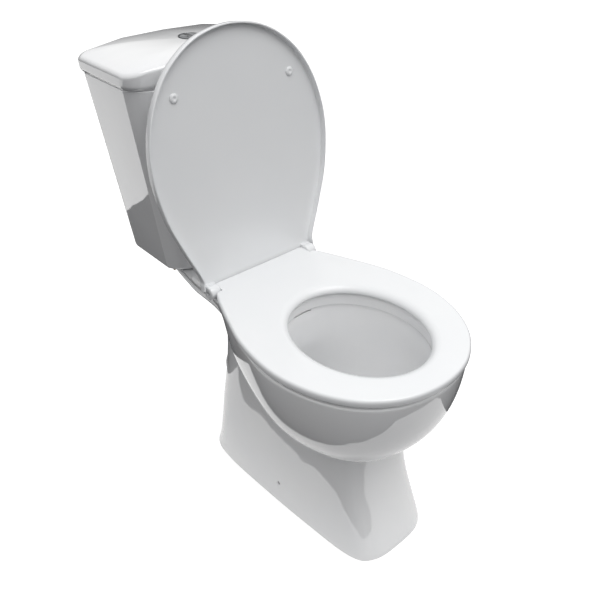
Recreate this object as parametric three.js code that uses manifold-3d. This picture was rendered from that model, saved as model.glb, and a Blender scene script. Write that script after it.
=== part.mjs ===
// Close coupled toilet: china pan, cistern with dual flush, and a hinged seat and cover.
// Millimetres, +Z up, front towards -Y, origin on the floor under the middle of the whole toilet.
import * as THREE from 'three';
import { mergeVertices } from 'three/addons/utils/BufferGeometryUtils.js';
import Module from 'manifold-3d';

const wasm = await Module();
wasm.setup();

// ---------- driving dimensions ----------
const columns = 40;              // points round each lofted ring
const gap = 0.35;                // space kept between touching pieces
const backEdgeY = 83;            // rear edge of the seat, the datum of the plan

const panTop = 397;              // rim and front of the deck
const deckTop = 390;             // lower platform under the cistern
const platformFrontY = backEdgeY + 72;
const panWall = 11;
const bowlWall = 12;

const seatBottom = 403;
const seatTop = 417;
const hingeY = backEdgeY - 9;
const hingeZ = 410;
const hingePostX = 77;
const knuckleX = 113.5;
const knuckleWidth = 20;
const knuckleRadius = 12.4;
const pinRadius = 3.7;
const coverAngle = 100;          // how far the cover stands open, degrees from closed

const tankBottom = 392;
const tankTop = 742;
const tankWall = 10;
const lidBottom = tankTop + gap;
const lidEdgeTop = 767;          // at the lid's ends
const lidCrown = 18;             // arch of the lid from end to end
const lidDome = 4;               // further rise from its edges to its middle
const cisternBackY = backEdgeY + 268;
const cisternMiddleY = backEdgeY + 165;

const valveY = backEdgeY + 172;  // flush valve and pan inlet share this line
const valveBoreRadius = 28;
const recessRadius = 50;         // well in the deck that takes the coupling washer
const recessFloor = 364;
const buttonRadius = 19;
const buttonY = backEdgeY + 179;
const buttonTop = lidEdgeTop + lidCrown + lidDome + 1.5;
const cisternBoltX = 65;
const fillValveX = 83;
const fillValveY = backEdgeY + 212;

const outletZ = 180;
const outletEndY = backEdgeY + 50;
const outletRadius = 51;
const bracketHoleY = backEdgeY - 168;
const bracketHoleZ = 43;

// ---------- materials ----------
function finish(color, roughness, metalness = 0) {
  return new THREE.MeshStandardMaterial({ color, roughness, metalness });
}
const china = finish(0xf2f2f0, 0.08);
const seatPlastic = finish(0xf4f5f5, 0.22);
const valvePlastic = finish(0xe4e6e6, 0.45);
const bluePlastic = finish(0x4a78a8, 0.45);
const chrome = finish(0xb9bbbd, 0.12, 1);
const steel = finish(0x9fa2a5, 0.3, 1);
const brass = finish(0xb8965a, 0.3, 1);
const rubber = finish(0x303234, 0.8);
const padPlastic = finish(0xe9ebec, 0.4);

// ---------- solids ----------
function toSolid(geometry) {
  const bare = geometry.clone();
  bare.deleteAttribute('normal');
  bare.deleteAttribute('uv');
  const merged = mergeVertices(bare, 1e-4);
  const vertProperties = new Float32Array(merged.attributes.position.array);
  const triVerts = new Uint32Array(merged.index.array);
  return new wasm.Manifold(new wasm.Mesh({ numProp: 3, vertProperties, triVerts }));
}

function fromSolid(solid) {
  const mesh = solid.getMesh();
  const geometry = new THREE.BufferGeometry();
  geometry.setAttribute('position', new THREE.BufferAttribute(new Float32Array(mesh.vertProperties), 3));
  geometry.setIndex(new THREE.BufferAttribute(new Uint32Array(mesh.triVerts), 1));
  geometry.computeVertexNormals();
  return geometry;
}

function join(...geometries) {
  return fromSolid(geometries.map(toSolid).reduce((a, b) => a.add(b)));
}

function cut(geometry, ...tools) {
  return fromSolid(tools.map(toSolid).reduce((a, b) => a.subtract(b), toSolid(geometry)));
}

function common(a, b) {
  return fromSolid(toSolid(a).intersect(toSolid(b)));
}

// A closed solid through rings that run anticlockwise seen from the end they climb towards.
function loft(rings) {
  const count = rings[0].length;
  const points = rings.flat();
  const firstCap = points.length;
  const lastCap = firstCap + 1;
  points.push(middle(rings[0]), middle(rings[rings.length - 1]));
  const index = [];
  for (let i = 0; i < count; i += 1) {
    const j = (i + 1) % count;
    for (let row = 0; row < rings.length - 1; row += 1) {
      const a = row * count;
      const b = a + count;
      index.push(a + i, a + j, b + j, a + i, b + j, b + i);
    }
    const top = (rings.length - 1) * count;
    index.push(firstCap, j, i, lastCap, top + i, top + j);
  }
  const geometry = new THREE.BufferGeometry().setFromPoints(points);
  geometry.setIndex(index);
  return geometry;
}

function middle(ring) {
  const sum = ring.reduce((total, point) => total.add(point), new THREE.Vector3());
  return sum.divideScalar(ring.length);
}

// Half of a ring, front middle to rear middle on the +X side, is given by hand; the rest mirrors it.
function smoothRing(half, count = columns) {
  const right = half.map(([x, y, z]) => new THREE.Vector3(x, y, z));
  const left = right.slice(1, -1).reverse().map((point) => new THREE.Vector3(-point.x, point.y, point.z));
  const curve = new THREE.CatmullRomCurve3([...right, ...left], true, 'catmullrom', 0.5);
  return Array.from({ length: count }, (_, i) => curve.getPoint(i / count));
}

function atHeight(plan, z) {
  return plan.map(([x, y]) => [x, y, z]);
}

// Moves a ring outwards in plan by a distance, and up by a lift.
function offset(ring, distance, lift = 0) {
  return ring.map((point, i) => {
    const before = ring[(i + ring.length - 1) % ring.length];
    const after = ring[(i + 1) % ring.length];
    const along = new THREE.Vector2(after.x - before.x, after.y - before.y).normalize();
    return new THREE.Vector3(point.x + along.y * distance, point.y - along.x * distance, point.z + lift);
  });
}

function lathe(profile, x, y, segments = 24) {
  const points = profile.map(([radius, z]) => new THREE.Vector2(radius, z));
  const geometry = new THREE.LatheGeometry(points, segments);
  return geometry.rotateX(Math.PI / 2).translate(x, y, 0);
}

function cylinder(radius, from, to, x, y, segments = 24) {
  return lathe([[0, from], [radius, from], [radius, to], [0, to]], x, y, segments);
}

function ringSolid(inner, outer, from, to, x, y, segments = 24) {
  return lathe([[inner, from], [outer, from], [outer, to], [inner, to], [inner, from]], x, y, segments);
}

function box(x0, x1, y0, y1, z0, z1) {
  const geometry = new THREE.BoxGeometry(x1 - x0, y1 - y0, z1 - z0);
  return geometry.translate((x0 + x1) / 2, (y0 + y1) / 2, (z0 + z1) / 2);
}

function crossBar(radius, x0, x1, y, z, segments = 24) {
  const geometry = new THREE.CylinderGeometry(radius, radius, x1 - x0, segments);
  return geometry.rotateZ(Math.PI / 2).translate((x0 + x1) / 2, y, z);
}

function mirrored(geometry) {
  const flipped = geometry.clone().scale(-1, 1, 1);
  const index = flipped.index.array;
  for (let i = 0; i < index.length; i += 3) {
    [index[i], index[i + 1]] = [index[i + 1], index[i]];
  }
  return flipped;
}

// ---------- the toilet ----------
const toilet = new THREE.Group();

function add(name, geometry, material) {
  const mesh = new THREE.Mesh(geometry, material);
  mesh.name = name;
  toilet.add(mesh);
  return mesh;
}

function addPair(name, geometry, material) {
  add(`${name}_right`, geometry, material);
  add(`${name}_left`, mirrored(geometry), material);
}

// An egg-shaped outline: superellipse front, nearly straight sides, narrow rear.
// grow moves it outwards all round.
function seatPlan(grow) {
  const widestY = backEdgeY - 231;
  const halfWidth = 178 + grow;
  const length = 199 + grow;
  const front = [0, 20, 40, 58, 75, 90].map((degrees) => {
    const angle = THREE.MathUtils.degToRad(degrees);
    const power = 2 / 2.1;
    return [halfWidth * Math.sin(angle) ** power, widestY - length * Math.cos(angle) ** power];
  });
  const side = [[168 + grow, backEdgeY - 160], [147 + grow, backEdgeY - 100], [122 + grow, backEdgeY - 40]];
  return [...front, ...side];
}

// ---------- pan ----------
// Rings of the outer surface. Each runs front middle, front, front corner, widest, behind the widest,
// beside the hinge, beside the cistern, rear corner, rear middle.
const y = (fromBackEdge) => backEdgeY + fromBackEdge;
const floorRing = [
  [0, y(-394), 0], [58, y(-387), 0], [87, y(-352), 0], [98, y(-240), 0], [103, y(-120), 0],
  [103, y(-25), 0], [92, y(30), 0], [55, y(62), 0], [0, y(70), 0],
];
const flareRing = [
  [0, y(-389), 25], [56, y(-382), 25], [84, y(-347), 25], [95, y(-238), 25], [99.5, y(-120), 25],
  [99, y(-27), 25], [88, y(26), 25], [54, y(58), 25], [0, y(66), 25],
];
const waistRing = [
  [0, y(-357), 110], [50, y(-350), 110], [77, y(-318), 110], [88, y(-225), 108], [93, y(-125), 108],
  [93, y(-32), 108], [83, y(18), 108], [52, y(50), 108], [0, y(58), 108],
];
const neckRing = [
  [0, y(-336), 190], [46, y(-331), 190], [73, y(-302), 190], [84, y(-225), 195], [91, y(-135), 225],
  [87, y(-48), 280], [70, y(12), 290], [46, y(42), 295], [0, y(50), 297],
];
const keelRing = [
  [0, y(-332), 204], [46, y(-328), 204], [73, y(-300), 206], [88, y(-228), 210], [100, y(-138), 247],
  [92, y(-40), 343], [66, y(70), 328], [52, y(172), 332], [0, y(212), 338],
];
const ridgeRing = [
  [0, y(-338), 210], [50, y(-334), 211], [80, y(-305), 213], [100, y(-234), 221], [117, y(-128), 272],
  [107, y(-32), 364], [95, y(86), 368], [65, y(198), 368], [0, y(232), 370],
];
const rimRing = [
  [0, y(-430), panTop], [92, y(-405), panTop], [155, y(-335), panTop], [178, y(-230), panTop],
  [147, y(-105), panTop], [113, y(-18), panTop], [101, y(84), panTop], [70, y(204), panTop],
  [0, y(238), panTop],
];

// The side of the bowl falls from the rim and rolls under to the ridge.
function bowlSide(rim, ridge, share) {
  return rim.map((top, i) => {
    const bottom = ridge[i];
    const drop = top.z - bottom.z;
    const upper = new THREE.Vector3(top.x, top.y, top.z - drop * 0.5);
    const lower = new THREE.Vector3().lerpVectors(bottom, top, 0.62);
    lower.z = bottom.z + drop * 0.1;
    return new THREE.CubicBezierCurve3(bottom, lower, upper, top).getPoint(share);
  });
}

function panOutside() {
  const rim = smoothRing(rimRing);
  const rimEdge = offset(rim, 0, -6);
  const ridge = smoothRing(ridgeRing);
  const sides = [0.15, 0.3, 0.45, 0.6, 0.75, 0.88].map((share) => bowlSide(rimEdge, ridge, share));
  return loft([
    smoothRing(floorRing), smoothRing(flareRing), smoothRing(waistRing), smoothRing(neckRing),
    smoothRing(keelRing), offset(ridge, -3, -4), ridge, ...sides, rimEdge,
    offset(rim, -1.8, -1.8), offset(rim, -6),
  ]);
}

// The hollow under the bowl and inside the pedestal, open to the floor. In front it follows the side of
// the bowl up to the rim; at the rear it stays in the pedestal and leaves the deck solid.
function panHollow() {
  const inside = (half, lift = 0) => offset(smoothRing(half), -panWall, lift);
  const rim = smoothRing(rimRing);
  const ridge = smoothRing(ridgeRing);
  const shaft = inside(neckRing);
  const rearLimit = y(8);
  const level = (outer, distance, lift, z) => offset(outer, -distance, lift).map((point, i) => {
    const station = (i / columns) * 16;
    const fromFront = Math.min(station, 16 - station);
    const front = THREE.MathUtils.clamp((5.2 - fromFront) / 1.2, 0, 1);
    const back = new THREE.Vector3(shaft[i].x * 0.82, Math.min(shaft[i].y - 14, rearLimit), z);
    return back.lerp(point, front);
  });
  const rimEdge = offset(rim, 0, -6);
  return loft([
    inside(floorRing, -5), inside(flareRing), inside(waistRing), inside(neckRing, 4),
    level(ridge, panWall + 3, 9, 312), level(bowlSide(rimEdge, ridge, 0.3), panWall + 1, 3, 332),
    level(bowlSide(rimEdge, ridge, 0.6), panWall + 1, 0, 352), level(rim, panWall + 4, -24, 372),
  ]);
}

// Levels of the bowl: half width, front, rear, height, all measured inside.
const bowlLevels = [
  [30, -172, -98, 168], [40, -205, -88, 180], [56, -262, -92, 208], [84, -336, -110, 256],
  [105, -372, -124, 305], [115, -385, -122, 352], [119, -388, -118, 371], [115.5, -385, -121, 376],
  [115.5, -385, -121, 386], [121, -390.5, -115, panTop + 4],
];

function bowl(grow, top) {
  const rings = bowlLevels.filter((level) => level[3] <= top).map(([half, front, rear, z], level) => {
    const centre = (front + rear) / 2;
    const length = (rear - front) / 2;
    const lift = level === 0 ? -grow : 0;
    return Array.from({ length: columns }, (_, i) => {
      const angle = (i / columns) * 2 * Math.PI;
      const px = (half + grow) * Math.sin(angle);
      return new THREE.Vector3(px, y(centre) - (length + grow) * Math.cos(angle), z + lift);
    });
  });
  return loft(rings);
}

// The water way from the sump over the weir and out at the back.
const trapPath = new THREE.CatmullRomCurve3([
  new THREE.Vector3(0, y(-125), 195), new THREE.Vector3(0, y(-75), 212), new THREE.Vector3(0, y(-25), 220),
  new THREE.Vector3(0, y(20), 202), new THREE.Vector3(0, y(60), outletZ + 2),
  new THREE.Vector3(0, y(100), outletZ),
]);
const slotTop = 372;             // flush slot under the rim
const archHalfWidth = 64;        // opening at the back of the pedestal
const archSpring = 186;
const trapWall = 9;
const trapBore = 36;

function tube(path, radius, steps, sides) {
  const section = new THREE.Shape();
  section.absarc(0, 0, radius, 0, 2 * Math.PI);
  return new THREE.ExtrudeGeometry(section, { steps, curveSegments: sides / 2, extrudePath: path });
}

function trapOutside() {
  const barrel = tube(trapPath, trapBore + trapWall, 12, 16);
  const spigot = crossBar(outletRadius, -46, 0, 0, 0, 24).rotateZ(Math.PI / 2);
  const beyond = box(-80, 80, outletEndY, outletEndY + 60, 100, 300);
  return cut(join(barrel, spigot.translate(0, outletEndY + 2, outletZ)), beyond);
}

function trapWaterWay() {
  const barrel = tube(trapPath, trapBore, 12, 16);
  const mouth = crossBar(outletRadius - 9, -30, 30, 0, 0, 20).rotateZ(Math.PI / 2);
  return join(barrel, mouth.translate(0, outletEndY, outletZ));
}

// Water runs from the valve along a duct under the deck and out through a slot under the rim.
function flushWay() {
  const ductFloor = 350;
  const halfWidth = 20;
  const riserFrontY = y(-114);
  const inlet = cylinder(valveBoreRadius, ductFloor, recessFloor + 16, 0, valveY, 20);
  const recess = cylinder(recessRadius, recessFloor, deckTop + 10, 0, valveY, 24);
  const duct = box(-halfWidth, halfWidth, riserFrontY, valveY, ductFloor, ductFloor + 11);
  const riser = box(-halfWidth, halfWidth, riserFrontY, riserFrontY + 9, ductFloor, slotTop);
  const slot = box(-halfWidth, halfWidth, y(-135), riserFrontY + 9, slotTop - 4, slotTop);
  return join(inlet, recess, duct, riser, slot);
}

function pan() {
  const shell = cut(panOutside(), panHollow());
  const bowlShell = common(bowl(bowlWall, panTop - 10), panOutside());
  const trap = trapOutside();
  const archTop = crossBar(archHalfWidth, -80, 0, 0, 0, 24).rotateZ(Math.PI / 2);
  const rearArch = join(
    box(-archHalfWidth, archHalfWidth, y(20), y(100), -10, archSpring),
    archTop.translate(0, y(100), archSpring),
  );
  const whole = join(cut(shell, rearArch), bowlShell, trap);
  const platformCut = box(-140, 140, platformFrontY, backEdgeY + 260, deckTop, panTop + 10);
  const sideHoles = crossBar(3.5, -140, 140, bracketHoleY, bracketHoleZ, 12);
  const hingeHoles = [-1, 1].map((side) => cylinder(
    8, panTop - 30, panTop + 5, side * hingePostX, hingeY, 12,
  ));
  const boltHoles = [-1, 1].map((side) => cylinder(6.5, 300, deckTop + 5, side * cisternBoltX, valveY, 12));
  const nutSeats = [-1, 1].map((side) => cylinder(16, 300, deckTop - 22, side * cisternBoltX, valveY, 16));
  return cut(
    whole, bowl(0, panTop + 9), trapWaterWay(), flushWay(), platformCut, sideHoles,
    ...hingeHoles, ...boltHoles, ...nutSeats,
  );
}
add('pan', pan(), china);

// ---------- cistern ----------
// A rounded box in plan with a bowed front. A turn under a quarter leaves a crease where the side starts.
function cisternRing(halfWidth, frontMiddle, frontCorner, back, radius, z, turn = Math.PI / 2) {
  const points = [];
  const bow = frontCorner - frontMiddle;
  const straight = halfWidth - radius;
  for (let i = 0; i <= 5; i += 1) {
    const px = (straight * i) / 5;
    points.push([px, frontMiddle + bow * (px / straight) ** 2]);
  }
  const start = Math.atan2(2 * bow, straight);
  for (let i = 1; i <= 5; i += 1) {
    const angle = start + ((turn - start) * i) / 5;
    const cx = straight - radius * Math.sin(start) * 0.4;
    points.push([
      cx + ((halfWidth - cx) * Math.sin(angle)) / Math.sin(turn),
      frontCorner + (radius * (1 - Math.cos(angle))) / (1 - Math.cos(turn)),
    ]);
  }
  const rearRadius = 16;
  for (let i = 0; i <= 4; i += 1) {
    const angle = (Math.PI / 2) * (i / 4);
    points.push([
      halfWidth - rearRadius * (1 - Math.cos(angle)),
      back - rearRadius * (1 - Math.sin(angle)),
    ]);
  }
  points.push([halfWidth / 2, back], [0, back]);
  const right = points.map(([px, py]) => new THREE.Vector3(px, py, z));
  const left = right.slice(1, -1).reverse().map((point) => new THREE.Vector3(-point.x, point.y, point.z));
  return [...right, ...left];
}

const tankCornerTurn = THREE.MathUtils.degToRad(50);

// The tank narrows downwards: ring at a height, inset all round.
function tankRing(z, inset) {
  const share = (z - tankBottom) / (tankTop - tankBottom);
  const halfWidth = THREE.MathUtils.lerp(117, 168, share) - inset;
  const front = THREE.MathUtils.lerp(y(82), y(72), share) + inset;
  const corner = THREE.MathUtils.lerp(y(100), y(98), share) + inset;
  const back = THREE.MathUtils.lerp(y(252), y(263), share) - inset;
  return cisternRing(halfWidth, front, corner, back, 30 - inset * 0.6, z, tankCornerTurn);
}

function tank() {
  const outside = loft([
    tankRing(tankBottom, 8), tankRing(tankBottom + 3, 2), tankRing(tankBottom + 9, 0),
    tankRing(tankBottom + 120, 0), tankRing(tankBottom + 240, 0), tankRing(tankTop - 3, 0),
    tankRing(tankTop, 2),
  ]);
  const inside = loft([
    tankRing(tankBottom + 12, tankWall + 6), tankRing(tankBottom + 20, tankWall),
    tankRing(tankBottom + 180, tankWall), tankRing(tankTop + 5, tankWall),
  ]);
  const outlet = cylinder(valveBoreRadius, tankBottom - 5, tankBottom + 20, 0, valveY, 32);
  const boltHoles = [-1, 1].map((side) => cylinder(
    6.5, tankBottom - 5, tankBottom + 20, side * cisternBoltX, valveY, 16,
  ));
  const fillHole = cylinder(11, tankBottom - 5, tankBottom + 20, fillValveX, fillValveY, 20);
  return cut(outside, inside, outlet, ...boltHoles, fillHole);
}
add('cistern_tank', tank(), china);

// The lid's plan, shrunk to a share of its size about its middle. The rings of its top follow its arch.
const lidHalfWidth = 173;

function lidRing(inset, z, share = 1) {
  const ring = cisternRing(
    lidHalfWidth - inset, y(72.5) + inset, y(95) + inset, cisternBackY - inset, 34 - inset * 0.6, z,
  );
  return ring.map((point) => new THREE.Vector3(
    point.x * share, cisternMiddleY + (point.y - cisternMiddleY) * share, z + lidDome * (1 - share ** 2),
  ));
}

function archedLidRing(inset, z, share = 1) {
  return lidRing(inset, z, share).map((point) => {
    const rise = lidCrown * (1 - Math.abs(point.x / lidHalfWidth) ** 3);
    return new THREE.Vector3(point.x, point.y, point.z + rise);
  });
}

function cisternLid() {
  const outside = loft([
    lidRing(5, lidBottom), lidRing(1.5, lidBottom + 4), lidRing(0.5, lidBottom + 10),
    archedLidRing(0, lidEdgeTop - 8), archedLidRing(2, lidEdgeTop - 2.5), archedLidRing(7, lidEdgeTop),
    ...[0.75, 0.5, 0.25].map((share) => archedLidRing(7, lidEdgeTop, share)),
  ]);
  const inside = loft([
    lidRing(19, lidBottom - 3), archedLidRing(19, lidEdgeTop - 11),
    ...[0.7, 0.4].map((share) => archedLidRing(19, lidEdgeTop - 11, share)),
  ]);
  const hole = cylinder(buttonRadius + 2.6, lidBottom, lidEdgeTop + 40, 0, buttonY, 32);
  const lip = cut(
    loft([lidRing(19.2, lidBottom - 8), lidRing(18.6, lidBottom + 2)]),
    loft([lidRing(25, lidBottom - 12), lidRing(25, lidBottom + 6)]),
  );
  return cut(join(cut(outside, inside), lip), hole);
}
add('cistern_lid', cisternLid(), china);

// ---------- dual flush button ----------
const shaftRadius = 3;
const rodLength = 62;
const buttonDepth = 22;

add('button_bezel', ringSolid(
  buttonRadius + 0.4, buttonRadius + 2.2, lidEdgeTop, buttonTop - 0.5, 0, buttonY, 24,
), chrome);

// The button is split across its width: the full flush takes the larger share.
function buttonPiece(side) {
  const disc = cylinder(buttonRadius, buttonTop - buttonDepth, buttonTop, 0, buttonY, 16);
  const split = -5;
  const half = side > 0
    ? box(split + gap, buttonRadius, buttonY - buttonRadius, buttonY + buttonRadius, 0, buttonTop)
    : box(-buttonRadius, split - gap, buttonY - buttonRadius, buttonY + buttonRadius, 0, buttonTop);
  const rodX = side > 0 ? 7 : -11;
  const rod = cylinder(shaftRadius, buttonTop - rodLength, buttonTop - buttonDepth + 2, rodX, buttonY, 8);
  return join(common(disc, half), rod);
}
add('full_flush_button', buttonPiece(1), chrome);
add('half_flush_button', buttonPiece(-1), chrome);

// ---------- flush valve ----------
const valveFloor = tankBottom + 12 + gap;

function flushValveBody() {
  const tail = ringSolid(22, valveBoreRadius - 0.8, 372, valveFloor + 8, 0, valveY, 16);
  const seatRing = ringSolid(22, 38, valveFloor, valveFloor + 14, 0, valveY, 16);
  const posts = [0, 1, 2, 3].map((quarter) => {
    const angle = (quarter + 0.5) * (Math.PI / 2);
    return cylinder(4, valveFloor + 10, 560, 32 * Math.cos(angle), valveY + 32 * Math.sin(angle), 6);
  });
  const crown = ringSolid(17, 38, 552, 566, 0, valveY, 16);
  return join(tail, seatRing, crown, ...posts);
}
add('flush_valve_body', flushValveBody(), valvePlastic);

const valveSealTop = valveFloor + 21;
add('valve_seal', ringSolid(12.4, 27, valveFloor + 14 + gap, valveSealTop, 0, valveY, 16), rubber);

function valveLift() {
  const stem = ringSolid(9, 12, valveFloor + 10, 700, 0, valveY, 16);
  const shoulder = ringSolid(9, 24, valveSealTop + gap, valveSealTop + 6, 0, valveY, 16);
  const collar = ringSolid(9, 15, 575, 585, 0, valveY, 16);
  return join(stem, shoulder, collar);
}
add('valve_lift_tube', valveLift(), bluePlastic);

function backNut(bore, outer, sides, height, x, centreY, boreSides) {
  const blank = cylinder(outer, tankBottom - height, tankBottom - gap, x, centreY, sides);
  return cut(blank, cylinder(bore, tankBottom - height - 5, tankBottom + 5, x, centreY, boreSides));
}
add('flush_valve_nut', backNut(valveBoreRadius, 40, 8, 14, 0, valveY, 16), valvePlastic);
add('coupling_washer', lathe([
  [40.5, recessFloor + gap], [47, recessFloor + gap], [49, 371], [49, 385], [47, tankBottom - gap],
  [40.5, tankBottom - gap], [40.5, recessFloor + gap],
], 0, valveY, 24), rubber);

// ---------- cistern bolts ----------
function cisternBolt() {
  const shaft = cylinder(4, 350, 410, cisternBoltX, valveY, 8);
  const head = cylinder(10, 408 + gap, 413, cisternBoltX, valveY, 12);
  return join(shaft, head);
}
addPair('cistern_bolt', cisternBolt(), brass);
addPair('cistern_bolt_washer',
  ringSolid(4.4, 13, tankBottom + 12 + gap, 408, cisternBoltX, valveY, 12), rubber);
addPair('cistern_bolt_plate',
  ringSolid(4.4, 12, deckTop - 24, deckTop - 22 - gap, cisternBoltX, valveY, 12), steel);

function wingNut(x, centreY, top, bore) {
  const hub = ringSolid(bore, 7.5, top - 9, top, x, centreY, 8);
  const blank = box(x - 14, x + 14, centreY - 1.5, centreY + 1.5, top - 9, top - 2);
  const wings = cut(blank, cylinder(bore + 1, top - 20, top + 5, x, centreY, 8));
  return join(hub, wings);
}
addPair('cistern_wing_nut', wingNut(cisternBoltX, valveY, deckTop - 24 - gap, 4.4), brass);

// ---------- fill valve ----------
const fillFloor = tankBottom + 12 + gap;
const floatRest = 560;

function fillValveBody() {
  const tail = ringSolid(5, 10, 352, fillFloor + 5, fillValveX, fillValveY, 12);
  const flange = ringSolid(5, 14, fillFloor, fillFloor + 4, fillValveX, fillValveY, 12);
  const column = ringSolid(5, 9, fillFloor + 3, 660, fillValveX, fillValveY, 12);
  const stop = ringSolid(5, 12, floatRest - 8, floatRest - gap, fillValveX, fillValveY, 12);
  return join(tail, flange, column, stop);
}
add('fill_valve_body', fillValveBody(), valvePlastic);
add('fill_valve_float',
  ringSolid(9.6, 16, floatRest, floatRest + 55, fillValveX, fillValveY, 12), bluePlastic);

function fillValveCap() {
  const dome = lathe([
    [0, 660 + gap], [15, 660 + gap], [15, 674], [11, 682], [0, 684],
  ], fillValveX, fillValveY, 12);
  const arm = box(fillValveX - 34, fillValveX, fillValveY - 3.5, fillValveY + 3.5, 666, 672);
  return join(dome, arm);
}
add('fill_valve_cap', fillValveCap(), bluePlastic);
add('fill_valve_nut', backNut(10.5, 16, 6, 12, fillValveX, fillValveY, 12), valvePlastic);

// ---------- hinges ----------
function hingePost() {
  const foot = cylinder(7, panTop + gap, panTop + 2, hingePostX, hingeY, 12);
  const stem = box(hingePostX - 6, hingePostX + 6, hingeY - 3, hingeY + 3, panTop + 1.5, hingeZ);
  const head = crossBar(6, hingePostX - 6, hingePostX + 6, hingeY, hingeZ, 16);
  const bolt = cylinder(3.5, panTop - 27, panTop + 2, hingePostX, hingeY, 12);
  const bore = crossBar(pinRadius + gap, hingePostX - 9, hingePostX + 9, hingeY, hingeZ, 16);
  return cut(join(foot, stem, head, bolt), bore);
}
addPair('hinge_post', hingePost(), steel);

addPair('hinge_pin',
  crossBar(pinRadius, hingePostX - 7, knuckleX + knuckleWidth / 2 - 2, hingeY, hingeZ, 16), steel);
addPair('hinge_sleeve', ringSolid(4, 7.4, panTop - 26, panTop - 1, hingePostX, hingeY, 12), rubber);

// ---------- seat ----------
const notchWidth = 103;

function seatOutline(grow, z) {
  const rear = [[112 + grow, y(-22)], [109 + grow, y(-6)], [98, y(0.4)], [50, y(0.4)], [0, y(0.4)]];
  return smoothRing(atHeight([...seatPlan(grow), ...rear], z), 56);
}

function seatHole(grow, z) {
  return Array.from({ length: 40 }, (_, i) => {
    const angle = (i / 40) * 2 * Math.PI;
    return new THREE.Vector3((108 + grow) * Math.sin(angle), y(-254) - (125 + grow) * Math.cos(angle), z);
  });
}

// Room for the hinge post as the seat swings up round it.
function postPocket(side) {
  const x0 = side * hingePostX - 7;
  const x1 = side * hingePostX + 7;
  const round = crossBar(6.6, x0, x1, hingeY, hingeZ, 16);
  const below = box(x0, x1, hingeY - 3.6, hingeY + 14, hingeZ - 12, hingeZ + 2);
  const swing = new THREE.BoxGeometry(x1 - x0, 14, 6.9).translate(side * hingePostX, 7, 0);
  swing.rotateX(THREE.MathUtils.degToRad(coverAngle - 90)).translate(0, hingeY, hingeZ);
  return join(round, below, swing);
}

function seat() {
  const outside = loft([
    seatOutline(1, seatBottom), seatOutline(3.5, seatBottom + 2), seatOutline(4, seatBottom + 6),
    seatOutline(3.5, seatTop - 3.5), seatOutline(2, seatTop - 1), seatOutline(-1, seatTop),
  ]);
  const opening = loft([
    seatHole(2, seatBottom - 1), seatHole(0, seatBottom + 2), seatHole(1, seatTop - 7),
    seatHole(4, seatTop - 2.5), seatHole(9.5, seatTop + 0.5),
  ]);
  const notches = [-1, 1].map((side) => {
    const inner = side * notchWidth;
    const outer = side * 150;
    return box(Math.min(inner, outer), Math.max(inner, outer), hingeY - 15, y(20), 380, 440);
  });
  const bores = [-1, 1].map((side) => crossBar(
    pinRadius + gap, side * 91 - 22, side * 91 + 22, hingeY, hingeZ, 16,
  ));
  return cut(outside, opening, ...notches, ...bores, postPocket(-1), postPocket(1));
}
add('seat', seat(), seatPlastic);

const padHeight = seatBottom - panTop - 2 * gap;
const seatPads = [[132, -90], [132, -340]];
seatPads.forEach(([padX, padY], i) => {
  const place = i === 0 ? 'rear' : 'front';
  const pad = cylinder(8, panTop + gap, panTop + gap + padHeight, padX, y(padY), 12);
  addPair(`seat_pad_${place}`, pad, padPlastic);
});

// ---------- seat cover ----------
// Modelled closed, then swung open about the hinge.
const coverInside = seatTop + 3.6;
const coverTop = coverInside + 5;
const coverRearY = hingeY - 5.6;

function coverOutline(grow, z) {
  const rear = [[121 + grow, y(-22)], [121 + grow, y(-6)], [112, y(4)], [50, y(4)], [0, y(4)]];
  return smoothRing(atHeight([...seatPlan(grow), ...rear], z), 56);
}

function seatCover() {
  const shell = loft([
    coverOutline(7.4, coverInside - 10), coverOutline(8.2, coverInside - 7), coverOutline(8.2, coverInside),
    coverOutline(6, coverTop - 1.5), coverOutline(2, coverTop),
  ]);
  const inside = loft([coverOutline(5, coverInside - 14), coverOutline(5, coverInside)]);
  const rearCut = box(-140, 140, coverRearY, y(40), 380, 440);
  const knuckles = [-1, 1].map((side) => {
    const x0 = side * knuckleX - knuckleWidth / 2;
    const x1 = side * knuckleX + knuckleWidth / 2;
    const barrel = crossBar(knuckleRadius, x0, x1, hingeY, hingeZ, 20);
    const arm = box(x0, x1, hingeY - 13, hingeY, coverInside - 7, coverTop - 1);
    return join(barrel, arm);
  });
  const bores = [-1, 1].map((side) => crossBar(
    pinRadius + gap, side * knuckleX - knuckleWidth, side * knuckleX + knuckleWidth, hingeY, hingeZ, 16,
  ));
  return cut(join(cut(shell, inside, rearCut), ...knuckles), ...bores);
}

const coverGroup = new THREE.Group();
coverGroup.position.set(0, hingeY, hingeZ);
coverGroup.rotation.x = THREE.MathUtils.degToRad(-coverAngle);
toilet.add(coverGroup);

function addToCover(name, geometry, material) {
  const mesh = add(name, geometry.translate(0, -hingeY, -hingeZ), material);
  coverGroup.add(mesh);
}
addToCover('seat_cover', seatCover(), seatPlastic);
[['right', 1], ['left', -1]].forEach(([word, side]) => {
  const pad = lathe([
    [0, seatTop + gap], [4, seatTop + gap], [7, seatTop + 1.2], [8, coverInside - gap],
    [0, coverInside - gap],
  ], side * 119, y(-342), 16);
  addToCover(`cover_pad_${word}`, pad, padPlastic);
});

// ---------- floor fixings ----------
const bracketSheet = 3.4;        // height of the foot's upper face

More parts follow.
